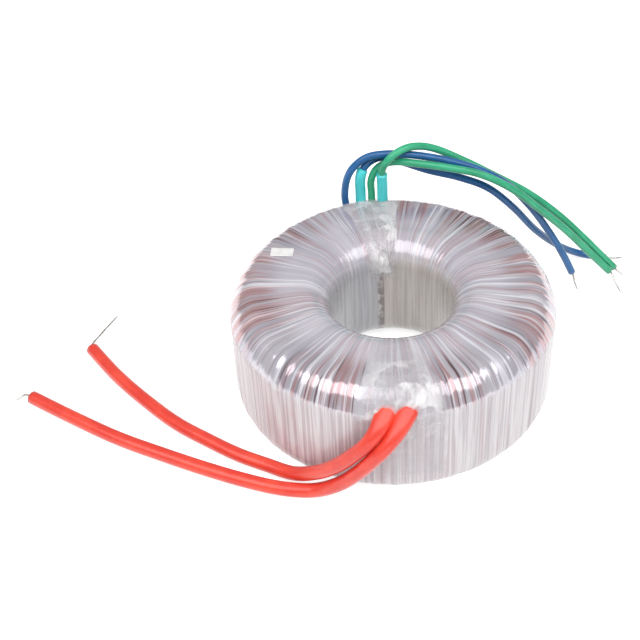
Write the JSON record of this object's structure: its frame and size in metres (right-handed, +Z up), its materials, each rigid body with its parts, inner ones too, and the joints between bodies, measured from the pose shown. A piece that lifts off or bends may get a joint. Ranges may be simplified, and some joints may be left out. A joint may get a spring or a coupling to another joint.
{
  "type": "toroidal transformer",
  "caption": "Ring-shaped mains transformer wrapped in clear film tape over copper windings, with an open centre hole and sleeved leads that leave the top edge at the front and rear.",
  "frame": {"origin": "on the axis of the centre hole, at the base that the transformer stands on", "axes": "+Z up along the centre hole's axis; the primary leads leave the front, towards -Y; the secondary leads leave the rear, towards +Y; +X to the right"},
  "size_m": [0.1963, 0.1163, 0.0577],
  "materials": {
    "core_steel": "wound silicon steel strip, dull",
    "cap_plastic": "moulded, matt",
    "copper_wire": "enamelled copper wire, satin",
    "inner_film": "clear film, glossy",
    "wrap_film": "many turns of clear film tape, glossy and gathered",
    "clear_tape": "clear tape, glossy and creased",
    "label_paper": "small paper label, matt",
    "red_sleeving": "satin sleeving",
    "blue_sleeving": "satin sleeving",
    "green_sleeving": "satin sleeving",
    "turquoise_sleeving": "thin-walled sleeving, satin",
    "tinned_wire": "tinned copper wire"
  },
  "bodies": {
    "root": {"steel_core": "core_steel", "core_cap_bottom": "cap_plastic", "core_cap_top": "cap_plastic", "primary_winding": "copper_wire", "barrier_film": "inner_film", "secondary_winding_blue": "copper_wire", "secondary_winding_green": "copper_wire", "outer_wrap": "wrap_film", "front_exit_tape": "clear_tape", "rear_exit_tape": "clear_tape", "label": "label_paper", "red_lead_left": "red_sleeving", "red_lead_right": "red_sleeving", "blue_lead_left": "blue_sleeving", "blue_lead_right": "blue_sleeving", "green_lead_left": "green_sleeving", "green_lead_right": "green_sleeving", "turquoise_sleeve_left": "turquoise_sleeving", "turquoise_sleeve_right": "turquoise_sleeving", "red_left_wire_end": "tinned_wire", "red_right_wire_end": "tinned_wire", "blue_left_wire_end": "tinned_wire", "blue_right_wire_end": "tinned_wire", "green_left_wire_end": "tinned_wire", "green_right_wire_end": "tinned_wire"}
  },
  "joints": []
}
